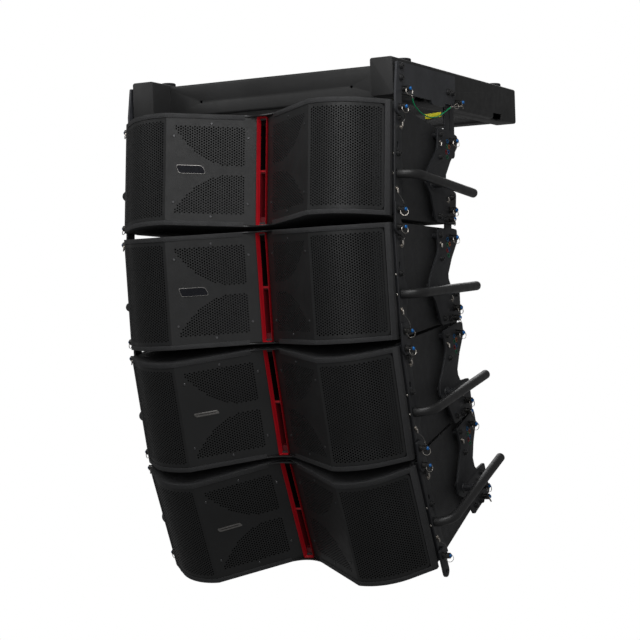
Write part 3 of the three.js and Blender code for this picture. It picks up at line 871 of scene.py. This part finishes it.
def make_fly_frame():
    pins = (FRAME_PIN, CHAIN_PIN)
    gap = BEAM_OUT + 0.1, LUG_IN - 0.1
    cap_depth = 2.6
    rows = [
        ("frame_beam_tube", beam_shape(), BEAM_COAT, 0.5),
        ("beam_cap_front", prism(beam_outline(0.2), FRAME_FRONT, FRAME_FRONT + cap_depth, "Y"),
         BEAM_COAT, 0.7),
        ("beam_cap_rear", prism(beam_outline(0.2), -FRAME_FRONT - cap_depth, -FRAME_FRONT, "Y"),
         BEAM_COAT, 0.7),
        ("cheek_side_plate", cheek_shape(), CHEEK_COAT, 0.5),
        ("cheek_bolts", bolt_set(CHEEK_BOLTS, LUG_OUT, CHEEK_BOLT_R), BLACK_SCREW, 0),
        ("cheek_spacers", discs(CHEEK_BOLTS, 7, *gap), RIGGING_COAT, 0),
        ("drop_link_pivot", discs([DROP_PIVOT], PIVOT_R, *gap, 24), STEEL, 0),
        ("frame_lock_pins", at_each(pins, pin_body(BEAM_OUT + 1)), GUNMETAL, 0),
        ("frame_pin_buttons", at_each(pins, pin_button_shape()), BLUE, 0),
        ("frame_pin_rings", split_rings(pins, (0.5, -0.4)), BRIGHT, 0),
    ]
    for end, y in FEET_Y.items():
        rows += [(f"rubber_foot_{end}", foot_part(FOOT_PAD, 40, y), RUBBER, 0.3),
                 (f"foot_screw_{end}", foot_part(FOOT_SCREW, 20, y), STEEL, 0)]
    link = link_shape(DROP_PIVOT, DROP_LENGTH, 25, -26)
    for side in SIDES:
        make_parts(rows, side=side)
        part("drop_link_bar", link, RIGGING_COAT, 0.5, side=side, body=f"drop_link_{side}")
    part("crossbeam_tube_front", crossbeam(FRAME_FRONT + 74), BEAM_COAT, 0.6)
    part("crossbeam_tube_rear", crossbeam(-FRAME_FRONT - CROSS_D), BEAM_COAT, 0.6)
    part("inspection_tag", inspection_tag(), YELLOW, 0.2)
    lanyard_fittings()


make_fly_frame()

# ---- cabinet shell ----


def wing_point(s, inset=0.0):
    """Plan point of the right wing at a length s from the horn edge, set in from the surface."""
    if s <= FLAT:
        point = HORN_EDGE + ALONG * s + INWARD * inset
        if s > FLAT - 1e-6:
            arm = Vector((cos(BOW_START), sin(BOW_START)))
            normal = (INWARD - arm) / (1 - INWARD.dot(arm))
            point = SEAM + normal * inset
        return point
    angle = min(BOW_START + (s - FLAT) / BOW_R, BOW_END)
    straight = max(0, s - FLAT - BOW)
    return (BOW_CENTRE + Vector((cos(angle), sin(angle))) * (BOW_R - inset)
            + Vector((-sin(angle), cos(angle))) * straight)


def wing_line(inset, start, stop, step=5.0):
    stops = [start, FLAT]
    count = max(2, int((stop - FLAT) / step))
    stops += [FLAT + (stop - FLAT) * (i + 1) / count for i in range(count)]
    return [tuple(wing_point(s, inset)) for s in stops]


def flip_points(points):
    return [(-x, y) for x, y in reversed(points)]


def side_profile(y0, y1, inset):
    ys = [y0, WEDGE_START, y1] if y0 < WEDGE_START else [y0, y1]
    upper = [(y, HALF_H - max(0, y - WEDGE_START) * WEDGE - inset) for y in ys]
    return upper + [(y, -z) for y, z in reversed(upper)]


def shell_shape():
    """Glued enclosure: boards, walls and rear panel, open at the front for the grilles."""
    right = wing_line(0.25, 0, WING, 3.0)
    right += [(LIP_W, LIP_BACK), (HALF_W, LIP_BACK), (HALF_W, REAR)]
    plan = [*flip_points(right), *right]
    inner = HALF_W - WALL
    deep = REAR - WALL

    def opening(stop):
        channel = wing_line(9, 0, stop, 3.0) if stop > FLAT else [
            tuple(wing_point(0, 4.5)), tuple(wing_point(stop, 4.5))]
        lead = tuple(wing_point(stop, -40))
        half = [*channel, lead, (lead[0], -260)]
        return [*flip_points(half), *half]

    room = [p for p in wing_line(4.4, 0, FLAT + 120, 3.0) if p[0] < inner]
    room = [*room, (inner, -30), (inner, deep)]
    sloped = [(-150, RECESS), (WEDGE_START, RECESS),
              (deep, HALF_H - BOARD - (deep - WEDGE_START) * WEDGE)]
    sloped = [*sloped, *[(y, -z) for y, z in reversed(sloped)]]
    chamber = boolean(prism([*flip_points(room), *room], -HALF_H, HALF_H, "Z"),
                      (prism(sloped, -400, 400), "INTERSECT"))
    high = HALF_H + 20
    return boolean(
        prism(plan, -high, high, "Z"),
        (prism(side_profile(-220, REAR + 10, 0), -400, 400), "INTERSECT"),
        (prism(opening(GRILLE_END + 1.2), -RECESS, RECESS, "Z"), "DIFFERENCE"),
        (prism(opening(TAB + 1), -HORN_H - 0.5, HORN_H + 0.5, "Z"), "DIFFERENCE"),
        (chamber, "DIFFERENCE"),
    )


def centre_lip_shape():
    """Thin plate that closes the V above the horn, with a hollow front."""
    front = [(38 * t, 10.9 - 9.1 * t * t) for t in [i / 10 - 1 for i in range(21)]]
    outline = front + [(36, 3.8), (12.5, 20.4), (-12.5, 20.4), (-36, 3.8)]
    return prism(outline, HORN_H + 0.5, HALF_H - 0.05, "Z")


def baffle_shape():
    reach, high = HALF_W - WALL - 0.2, 107.2
    holes = [*[circle(x, 0, WOOFER_HOLE_R, 48) for x in (WOOFER_X, -WOOFER_X)],
             rectangle(-16.5, 16.5, -105, 105, 3)]
    return prism(rectangle(-reach, reach, -high, high), BAFFLE_FRONT, BAFFLE_BACK, "Y", holes)


# ---- grilles ----


def is_perforated(s, z):
    """Where the sheet is punched: two fields on the flat, tapering outward, and the whole bow."""
    if 25 < s < 183.5:
        waist = 9 + 77 * (max(0, s - 50) / 131) ** 2.2
        return waist < abs(z) < 97
    return FLAT + 4.5 < s < GRILLE_END - 5 and abs(z) < 107


def hole_centres():
    column = PITCH * sin(radians(60))
    for k in range(int(GRILLE_END / column)):
        s = GRILLE_START + 3 + k * column
        for j in range(-18, 19):
            z = j * PITCH + (PITCH / 2 if k % 2 else 0)
            if is_perforated(s, z):
                yield s, z


def sheet_outline():
    """Outer edge of the flat-patterned sheet, with points closer together round the bow."""
    h, tall = GRILLE_HALF_H, HORN_H - 0.9
    corner = rounded([(GRILLE_START, -tall), (TAB, -tall), (TAB, -h), (GRILLE_END, -h, 10),
                      (GRILLE_END, h, 10), (TAB, h), (TAB, tall), (GRILLE_START, tall)], 0, 6)
    outline = []
    for i, point in enumerate(corner):
        after = corner[(i + 1) % len(corner)]
        outline.append(point)
        if abs(after[0] - point[0]) > 100:
            stops = [FLAT] + [FLAT + 4 * k for k in range(1, 42) if FLAT + 4 * k < GRILLE_END - 12]
            if after[0] < point[0]:
                stops.reverse()
            outline.extend((s, point[1]) for s in stops)
    return outline


def grille_shape():
    """Perforated sheet: punched in the flat, then bent round the wing, with real thickness."""
    loops = [sheet_outline()]
    loops += [circle(s, z, HOLE_R, HOLE_SIDES, pi / HOLE_SIDES) for s, z in hole_centres()]
    flat = [p for loop in loops for p in loop]
    edges, owner, start = [], [], 0
    for number, loop in enumerate(loops):
        count = len(loop)
        edges.extend((start + i, start + (i + 1) % count) for i in range(count))
        owner.extend([number] * count)
        start += count
    crease = [i for i, p in enumerate(loops[0]) if abs(p[0] - FLAT) < 1e-6]
    edges.append(tuple(crease))
    made = delaunay_2d_cdt([Vector(p) for p in flat], edges, [], 1, 1e-7, True)
    origin = [ids[0] for ids in made[3]]
    triangles = []
    for triangle in made[2]:
        ids = [origin[i] for i in triangle]
        owners = {owner[i] for i in ids}
        if len(owners) == 1 and owners != {0}:
            continue
        triangles.append(ids)
    points = []
    for inset in (GRILLE_RECESS, GRILLE_RECESS + GRILLE_SHEET):
        for s, z in flat:
            x, y = wing_point(s, inset)
            points.append((x, y, z))
    count = len(flat)
    faces = [*map(tuple, triangles), *[tuple(i + count for i in reversed(t)) for t in triangles]]
    for a, b in edges[:-1]:
        faces.append((a, b, b + count, a + count))
    return points, faces


def flatten_flat(mesh):
    """Flat shading on the flat part of the sheet, so that the bend at the seam stays crisp."""
    for face in mesh.polygons:
        if abs(face.normal.x * INWARD.x) + abs(face.normal.y * INWARD.y) > 0.9999:
            face.use_smooth = False


REWORK["perforated_grille"] = flatten_flat
GRILLE_SCREWS = [(20, 74), (20, -74), (102, 104), (102, -104), (185, 74), (185, -74)]


def on_wing(s, z, lift=0.0):
    """Matrix that stands something, made along +X, on the wing at (s, z)."""
    x, y = wing_point(s, GRILLE_RECESS - lift)
    out = Vector((-INWARD.x, -INWARD.y, 0))
    along = Vector((ALONG.x, ALONG.y, 0))
    turn = Matrix((out, along, out.cross(along))).transposed().to_4x4()
    return Matrix.Translation((x, y, z)) @ turn


def grille_screws():
    head = merge(lathe([(0, 0), (0, 3.0), (0.6, 3.0), (1.3, 2.3), (1.3, 0)], 20),
                 prism(circle(0, 0, 2.2, 20), 1.2, 1.75, holes=[circle(0, 0, 1.1, 6)]))
    return merge(*[moved(head, on_wing(s, z)) for s, z in GRILLE_SCREWS])


def badge_outline(inset):
    """Slanted capsule in the sheet's plane."""
    half, high = 33 - inset, 9.5 - inset
    return rounded([(-half, -high, 2.5), (half - 6, -high, 6), (half, high, 2.5),
                    (6 - half, high, 12)], 0, 6)


def badge_bar():
    """Plain brushed bar with a shallow groove, in place of a badge."""
    ends = rounded([(-30, -4.5, 2), (24, -4.5, 4), (30, 4.5, 2), (-24, 4.5, 4)], 0, 5)
    groove = rectangle(-21, 21, -0.9, 0.9, 0.8, 3)
    return moved(prism(ends, 0, 1.3, holes=[groove]), on_wing(BADGE_S, 0))


# ---- drive units ----

def rect_loop(half_x, z0, z1, y, radius=1.0):
    return [(u, y, v) for u, v in rectangle(-half_x, half_x, z0, z1, radius, 3)]


def horn_shapes():
    """Red mouth whose flanks close in to two narrow throats, one above the other."""
    outer_front = rect_loop(HORN_W, -HORN_H, HORN_H, HORN_FRONT, 1.5)
    outer_back = rect_loop(HORN_W, -HORN_H, HORN_H, BAFFLE_FRONT - 0.3, 1.5)
    neck_front = rect_loop(HORN_W, -103.5, 103.5, BAFFLE_FRONT - 0.3, 1.5)
    neck_back = rect_loop(HORN_W, -103.5, 103.5, HORN_BACK, 1.5)
    mouth = rect_loop(11.8, -120.8, 120.8, HORN_FRONT, 0.4)
    flank_end = rect_loop(6.8, -118.4, 118.4, 24.5, 0.4)
    slots = [rect_loop(6.5, 2.2, 118.1, 24.5, 0.4), rect_loop(6.5, -118.1, -2.2, 24.5, 0.4)]
    throats = []
    for sign, loop in ((1, slots[0]), (-1, slots[1])):
        rows = [loop]
        for half, near, far, y in ((6.4, 2.6, 117.8, 26.8), (6.2, 5, 102.5, 27.2),
                                   (5.6, 8, 101, 40), (4.2, 12, 99, 64)):
            low, high = sorted((sign * near, sign * far))
            rows.append(rect_loop(half, low, high, y, 0.4))
        throats.append(bridge(rows, caps="last"))
    sides = bridge([outer_front, outer_back, neck_front, neck_back], caps="last")
    return merge(framed(outer_front, mouth), bridge([mouth, flank_end], caps="none"),
                 framed(flank_end, *slots), sides, *throats)


def framed(outer, *inner):
    """Flat face across a loop, with the inner loops left open."""
    loops = [outer, *inner]
    flat = [[Vector((p[0], p[2], 0)) for p in loop] for loop in loops]
    return [Vector(p) for loop in loops for p in loop], [tuple(f) for f in tessellate_polygon(flat)]


def paint_throat_shade(mesh):
    """Upper throat in near black as a painted shadow, lower throat in the horn's red darkened as
    painted shade.
    """
    for face in mesh.polygons:
        middle = face.center / MM
        if middle.y > 24.6 and abs(middle.x) < 6.6 and abs(middle.z) < 118.3:
            face.material_index = 1 if middle.z > 0 else 2


REWORK["waveguide_horn"] = paint_throat_shade


def driver_shape():
    return moved(lathe([(75.2, 0), (75.2, 38), (77, 45), (96, 45), (97, 43), (99, 43), (100, 45),
                        (110, 45), (112, 42), (112, 0)], 40), FORWARD)


def woofer_parts():
    """Basket, cone and surround of one woofer."""
    basket = lathe([(50, 0), (50, 24), (26, 79), (25.2, 95), (20.4, 95.5), (20.4, 100),
                    (21.2, 101), (27.7, 101), (27.7, 91), (79, 50), (82, 54), (82, 62), (95, 62),
                    (96, 59), (98, 59), (99, 62), (111, 62), (112, 60), (112, 0)], 56)
    cone = lathe([(38, 0), (39, 9), (42, 18), (46.5, 25), (24.5, 77), (25.2, 77.4), (49, 24.5),
                  (49.2, 0)], 56)
    roll = [(24.3, 77.5), (21.5, 79), (19.4, 82), (18.8, 85.5), (19.4, 89), (21.5, 92),
            (23.6, 94.8), (24.6, 94.8), (24.6, 92), (22, 89), (20.6, 85.5), (22, 82), (25, 77.5)]
    rings = [[Vector((x, *p)) for p in circle(0, 0, r, 56)] for x, r in roll]
    surround = bridge(rings, closed=True)
    place = shift(WOOFER_X) @ FORWARD
    return [moved(shape, place) for shape in (basket, cone, surround)]


# ---- side rigging ----


def rail_shape():
    """Folded front rail with its short front flange, wide where the pins and the handle are."""
    top, low = 124, -120
    outline = rounded([(5, low, 5), (46, low, 7), (48, -98, 9), (39, -80, 16), (38, -60, 14),
                       (47, -50, 9), (47, -10, 9), (38, 0, 14), (38, 68, 18), (48, 86, 12),
                       (46, top, 7), (5, top, 5)], 0, 6)
    holes = [circle(*HINGE, PIN_BORE), circle(*LOCK_PIN, PIN_BORE),
             stadium(17, 32, 15, 7, pi / 2)]
    section = rounded([(324.4, 5, 0.5), (RAIL_OUT, 5, 3), (RAIL_OUT, 60), (RAIL_IN, 60),
                       (RAIL_IN, 9, 0.6), (324.4, 9, 0.5)], 0, 4)
    return boolean(prism(section, low - 5, top + 5, "Z"),
                   (prism(outline, 320, 340, "X", holes), "INTERSECT"))


def hinge_lug_shape():
    """Lower lug that reaches down to the next cabinet's hinge pin."""
    edge = lug_outline(LOWER_HINGE, -92, 13.85)
    outline = rounded([(*edge[0], 4), *edge[1:-1], (*edge[-1], 4)])
    holes = [circle(*LOWER_HINGE, PIN_BORE), circle(*LOCK_PIN, PIN_BORE)]
    return prism(outline, LUG_IN, LUG_OUT, "X", holes)


def handle_shape():
    """Round bar that bends back from the rail, with a rounded end."""
    middle, nose = HANDLE_FRONT + HANDLE_BEND, HANDLE_END - 4
    bend = [pi / 2 * i / 12 for i in range(13)]
    end = bend[2::2]
    path = [(HANDLE_X - HANDLE_BEND + HANDLE_BEND * sin(a),
             middle - HANDLE_BEND * cos(a), HANDLE_Z) for a in bend]
    path += [(HANDLE_X, y, HANDLE_Z) for y in (middle + 40, 160, nose)]
    radii = [HANDLE_R] * len(path) + [HANDLE_R - 4 + 4 * cos(a) for a in end]
    path += [(HANDLE_X, nose + 4 * sin(a), HANDLE_Z) for a in end]
    return tube(path, radii, 28)


def handle_post():
    """Standoff that carries the handle on the rear plate."""
    return moved(lathe([(PLATE_OUT + 0.1, 0), (PLATE_OUT + 0.1, 12), (PLATE_OUT + 2, 11.5),
                        (PLATE_OUT + 3.4, 8.5), (HANDLE_X - 6, 8.5), (HANDLE_X - 6, 0)], 24),
                 shift(0, STANDOFF_Y, HANDLE_Z))


ANGLE_HOLES = [(259, 79), (257, 67), (268, 68), (254, 54), (264, 56), (259, 43)]
ANGLE_HOLE_R = 3.1
PLATE_BOLTS = [(222, 89), (222, 38), (285, -45), (219, -96), (250, -99)]
RAIL_BOLTS = [(24, 92), (21.5, 14)]
PLATE_PINS = [(275, -75), (265, -97), (277, 82)]
FIXED_PINS = [LOCK_PIN, *PLATE_PINS]
RAIL_TIES = [(32, 73), (11, -63)]
RAIL_PADS = [(24, 92), (22, 14), (24, -88)]
PLATE_PADS = [(222, 88), (220, -92), (176, -22)]


def rear_plate_shape():
    outline = rounded([(209, 103, 5), (278, 104, 6), (313, 99, 6), (311, 72, 5), (303, 64, 5),
                       (276, 36, 24), (249, -3, 10), (262, -25, 8), (308, -31, 8), (305, -104, 8),
                       (203, -110, 10), (194, -89, 14), (177, -54, 40), (146, -31, 8),
                       (155, -3, 14), (209, 55, 30)], 0, 7)
    holes = [circle(y, z, ANGLE_HOLE_R, 16) for y, z in ANGLE_HOLES]
    holes += [circle(y, z, 4.2, 20) for y, z in PLATE_PINS]
    return prism(outline, PLATE_IN, PLATE_OUT, "X", holes)


def spacer_set():
    inner = HALF_W + 0.2
    return merge(discs(RAIL_PADS, PAD_R, inner, RAIL_IN - 0.1),
                 discs(PLATE_PADS, PAD_R, inner, PLATE_IN - 0.1),
                 discs([LINK_PIVOT], PIVOT_R, LINK_IN, PLATE_IN - 0.1, 24))


def angle_rings():
    ring_shape = prism(circle(0, 0, 5.0, 20), PLATE_OUT + 0.02, PLATE_OUT + 0.5,
                       holes=[circle(0, 0, ANGLE_HOLE_R + 0.1, 16)])
    return at_each(ANGLE_HOLES, ring_shape)


def colour_rings(mesh):
    for face in mesh.polygons:
        at = Vector((face.center.y, face.center.z)) / MM
        nearest = min(range(len(ANGLE_HOLES)), key=lambda i: (Vector(ANGLE_HOLES[i]) - at).length)
        face.material_index = nearest % len(RING_COLOURS)


REWORK["angle_rings"] = colour_rings


def fixed_pins():
    lock, *rest = FIXED_PINS
    return merge(at_each([lock], pin_body()), at_each(rest, pin_body(PLATE_IN)))


def flange_screws():
    turn = Matrix.Rotation(-pi / 2, 4, "Z")
    head = moved(lathe([(0, 0), (0, 2.9), (1.0, 2.8), (1.9, 1.9), (2.1, 0)], 16), turn)
    return merge(*[moved(head, shift(329.6, 5, z)) for z in (12, -31)])


TETHER_IN, TETHER_OUT = RAIL_OUT + 4.5, PIN_HEAD_OUT - 6


def tether(start, end):
    """Thin steel wire between a ferrule and a pin ring, each at (y, z)."""
    bow = Vector((0, 7, 0))
    a, b = Vector((TETHER_IN, *start)), Vector((TETHER_OUT, *end))
    return tube(smooth_path([a, a.lerp(b, 1 / 3) + bow, a.lerp(b, 2 / 3) + bow, b], 6), 0.75, 8)


def rail_ferrules():
    parts = [moved(washer(5, 1.2, 1.4), shift(RAIL_OUT + 0.05, y, z)) for y, z in RAIL_TIES]
    parts += [moved(button_bolt(3.4, 2.4, 1.2), shift(RAIL_OUT + 1.4, y, z)) for y, z in RAIL_TIES]
    x = RAIL_OUT + 4.2
    parts += [ferrule((x, 32, 74), (x, 32, 84), 2.4), ferrule((x, 11, -64), (x, 11, -74), 2.4)]
    return merge(*parts)


def plate_ferrules():
    bolt = moved(button_bolt(3.2, 2.6, 1.2), shift(PLATE_OUT))
    x = PLATE_OUT + 3.4
    return merge(at_each([(219, 72), (262, -58)], bolt),
                 ferrule((x, 219, 61.5), (x, 222, 70.5), 2.2),
                 ferrule((x, 262, -56.5), (x, 259, -47.5), 2.2))


HINGE_TETHER = (32, 84), (HINGE.x + 5, HINGE.y - 12)
LOCK_TETHER = (11, -74), (LOCK_PIN.x + 5, LOCK_PIN.y + 8)
PIN = at_each([HINGE], pin_body())
PIN_BUTTON = at_each([HINGE], pin_button_shape())
PIN_RING = split_ring(*HINGE, 0.45)
REAR_LINK = link_shape(LINK_PIVOT, LINK_LENGTH, 16)


def make_hinge_pin(number, side):
    """The right-hand pin and its button move on their own; the left-hand ones stay put."""
    cabinet = f"cabinet_{number}"
    moves = side == "right"
    body = f"hinge_pin_{number}" if moves else cabinet
    button_body = f"pin_button_{number}" if moves else cabinet
    pin = part("hinge_pin_body", PIN, GUNMETAL, 0, number, side, body)
    part("hinge_pin_ring", PIN_RING, BRIGHT, 0, number, side, body)
    button = part("hinge_pin_button", PIN_BUTTON, BLUE, 0, number, side, button_body)
    if not moves:
        part("hinge_pin_tether", tether(*HINGE_TETHER), STEEL, 0, number, side)
        return
    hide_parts(body)
    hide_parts(button_body)
    mesh = to_mesh("hinge_pin_tether_right", tether(*HINGE_TETHER), STEEL)
    wire = new_object(f"hinge_pin_tether_right_{number}", mesh, MATRIX[number])
    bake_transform(wire)


# ---- cabinets ----


def connector_plate():
    holes = [circle(x, 0, 15, 32) for x in (-SOCKET_X, SOCKET_X)]
    return prism(rectangle(-90, 90, -34, 34, 6), REAR + 0.1, REAR + 2.1, "Y", holes)


def connector_sockets():
    body = lathe([(REAR - 9, 0), (REAR - 9, 14.5), (REAR + 3.4, 14.5), (REAR + 4.2, 13.8),
                  (REAR + 4.2, 11), (REAR - 5, 10.4), (REAR - 5, 5.4), (REAR + 2, 5.2),
                  (REAR + 2.6, 4.6), (REAR + 2.6, 0)], 36)
    return merge(*[moved(body, shift(x) @ FORWARD) for x in (-SOCKET_X, SOCKET_X)])


def connector_screws():
    head = moved(button_bolt(3, 1.8, 1.1), shift(0, REAR + 2.1, 0) @ FORWARD)
    spots = [(x, z) for x in (-83, 0, 83) for z in (-27, 27)]
    return merge(*[moved(head, shift(x, 0, z)) for x, z in spots])


BASKET, CONE_SHAPE, SURROUND_SHAPE = woofer_parts()
CENTRE_PARTS = [
    ("cabinet_shell", shell_shape(), BLACK_WOOD, 0.9),
    ("front_baffle", baffle_shape(), SIDE_WOOD, 0),
    ("centre_lip_top", centre_lip_shape(), LIP_COAT, 0.5),
    ("centre_lip_bottom", moved(centre_lip_shape(), UPSIDE_DOWN), LIP_COAT, 0.5),
    ("waveguide_horn", horn_shapes(), [HORN_RED, THROAT_PAINTED_SHADOW, HORN_PAINTED_SHADE], 0),
    ("compression_driver", driver_shape(), DRIVER_COAT, 0),
    ("connector_plate", connector_plate(), RIGGING_COAT, 0.4),
    ("connector_sockets", connector_sockets(), SOCKET, 0),
    ("connector_screws", connector_screws(), BLACK_SCREW, 0),
]
SIDE_PARTS = [
    ("perforated_grille", grille_shape(), GRILLE_COAT, 0),
    ("grille_screws", grille_screws(), GREY_SCREW, 0),
    ("woofer_basket", BASKET, DRIVER_COAT, 0),
    ("woofer_cone", CONE_SHAPE, CONE, 0),
    ("woofer_surround", SURROUND_SHAPE, SURROUND, 0),
    ("front_rail", rail_shape(), RIGGING_COAT, 0.5),
    ("hinge_lug", hinge_lug_shape(), RIGGING_COAT, 0.5),
    ("grab_handle", handle_shape(), HANDLE_COAT, 0),
    ("handle_post", handle_post(), RIGGING_COAT, 0),
    ("rear_rigging_plate", rear_plate_shape(), RIGGING_COAT, 0.6),
    ("rigging_spacers", spacer_set(), RIGGING_COAT, 0),
    ("rail_bolts", bolt_set(RAIL_BOLTS, RAIL_OUT), BLACK_SCREW, 0),
    ("plate_bolts", bolt_set(PLATE_BOLTS, PLATE_OUT), BLACK_SCREW, 0),
    ("flange_screws", flange_screws(), BRIGHT, 0),
    ("rail_ferrules", rail_ferrules(), BRIGHT, 0),
    ("plate_ferrules", plate_ferrules(), BRIGHT, 0),
    ("angle_rings", angle_rings(), RING_COLOURS, 0),
    ("fixed_pins", fixed_pins(), GUNMETAL, 0),
    ("fixed_pin_buttons", at_each(FIXED_PINS, pin_button_shape()), BLUE, 0),
    ("fixed_pin_rings", split_rings(FIXED_PINS, (1.0, 0.2, -0.7, 0.5)), BRIGHT, 0),
    ("lock_pin_tether", tether(*LOCK_TETHER), STEEL, 0),
]
BADGE_RIM = prism(badge_outline(0), 0, 1.2, holes=[badge_outline(0.9)])
BADGE_INSET = prism(badge_outline(0.8), 0.1, 0.6)
CAPSULE_BADGE = [("badge_rim", moved(BADGE_RIM, on_wing(BADGE_S, 0)), STEEL, 0.3),
                 ("badge_inset", moved(BADGE_INSET, on_wing(BADGE_S, 0)), BADGE_GLASS, 0)]
BAR_BADGE = [("badge_bar", badge_bar(), STEEL, 0.3)]


def make_cabinet(number):
    make_parts(CENTRE_PARTS, number)
    make_parts(CAPSULE_BADGE if number < 3 else BAR_BADGE, number, "left")
    for side in SIDES:
        make_parts(SIDE_PARTS, number, side)
        make_hinge_pin(number, side)
        if number > 1:
            part("rear_link_bar", REAR_LINK, RIGGING_COAT, 0.5, number, side,
                 body=f"rear_link_{side}_{number}", above=1)


for cabinet in CABINETS:
    make_cabinet(cabinet)
